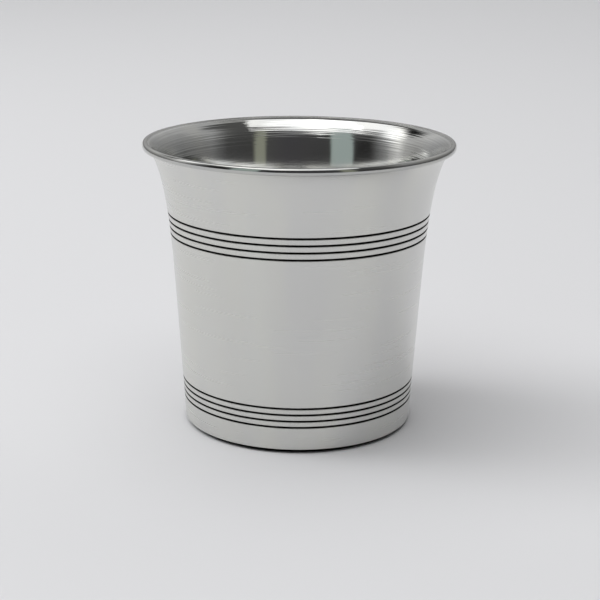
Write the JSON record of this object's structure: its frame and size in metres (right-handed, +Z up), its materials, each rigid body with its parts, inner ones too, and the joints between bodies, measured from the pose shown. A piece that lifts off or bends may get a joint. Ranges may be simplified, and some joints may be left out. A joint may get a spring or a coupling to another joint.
{
  "type": "communion beaker",
  "caption": "Handleless tapered pewter communion cup with a flared, rounded lip, bands of turned lines and a recessed foot.",
  "frame": {"origin": "centre of the foot's underside, on the surface the cup stands on", "axes": "+Z up along the axis of revolution, towards the mouth"},
  "size_m": [0.0888, 0.0888, 0.0822],
  "materials": {
    "spun_pewter": "satin pewter, fine turning marks round the axis",
    "burnished_pewter": "burnished bright pewter",
    "turned_pewter": "turned pewter, concentric tool marks",
    "foot_pewter": "dull pewter, scuffed where it stands",
    "tin_solder": "smooth tin solder"
  },
  "bodies": {
    "root": {"cup_wall": "spun_pewter", "rim_bead": "burnished_pewter", "rim_solder": "tin_solder", "floor_disc": "turned_pewter", "floor_solder": "tin_solder", "foot_ring": "foot_pewter", "foot_solder": "tin_solder"}
  },
  "joints": []
}
